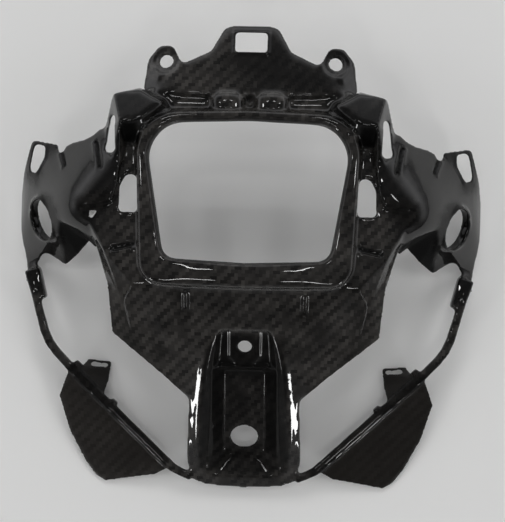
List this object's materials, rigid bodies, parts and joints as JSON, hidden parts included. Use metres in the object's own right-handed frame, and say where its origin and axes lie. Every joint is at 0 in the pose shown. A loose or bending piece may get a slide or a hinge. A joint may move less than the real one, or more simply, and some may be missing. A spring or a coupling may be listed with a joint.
{
  "type": "inner fairing panel",
  "caption": "Moulded inner fairing panel that frames a motorbike's instrument window, with a slotted tongue, outer brackets, side rails and a grooved lower stem.",
  "frame": {"origin": "middle of the bounding box, on the surface the panel lies on", "axes": "+X to the panel's right as seen from the rider's side, +Y towards the tongue, +Z out of the visible face"},
  "size_m": [0.414, 0.401, 0.1178],
  "materials": {
    "lacquered_carbon": "black twill carbon fibre under clear gloss lacquer"
  },
  "bodies": {
    "root": {"inner_fairing_panel": "lacquered_carbon"}
  },
  "joints": []
}
